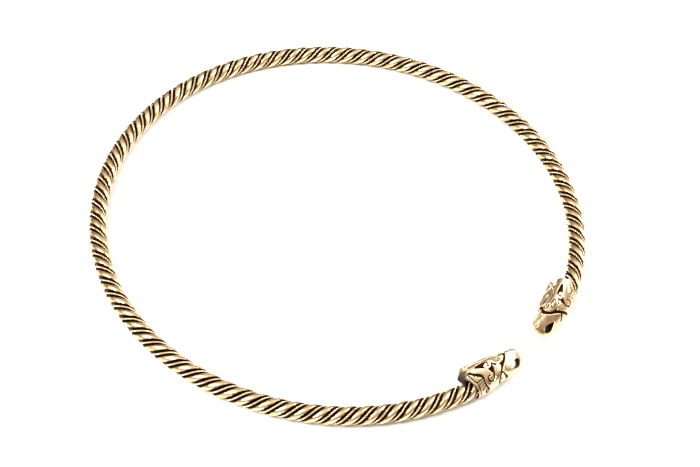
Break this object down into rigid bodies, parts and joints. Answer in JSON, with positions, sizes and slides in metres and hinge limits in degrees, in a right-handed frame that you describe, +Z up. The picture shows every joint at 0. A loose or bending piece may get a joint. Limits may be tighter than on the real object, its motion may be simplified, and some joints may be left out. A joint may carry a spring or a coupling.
{
  "type": "torc",
  "caption": "Open twisted-wire bronze neck ring whose two ends are cast raven heads with pierced beaks, lying flat.",
  "frame": {"origin": "under the middle of the ring's box, on the surface that the torc lies on", "axes": "+Z up, the gap between the beaks towards -Y, the two heads on -X and +X of it"},
  "size_m": [0.145, 0.1444, 0.0095],
  "materials": {
    "thick_wire": "polished bronze with dark patina in the grooves",
    "fine_cord": "rubbed bronze over dark patina",
    "cast_head": "cast bronze, polished on the high places and dark in the carving"
  },
  "bodies": {
    "root": {"thick_wire_1": "thick_wire", "thick_wire_2": "thick_wire", "thick_wire_3": "thick_wire", "fine_cord_1": "fine_cord", "fine_cord_2": "fine_cord", "fine_cord_3": "fine_cord", "raven_head_1": "cast_head", "raven_head_2": "cast_head"}
  },
  "joints": []
}
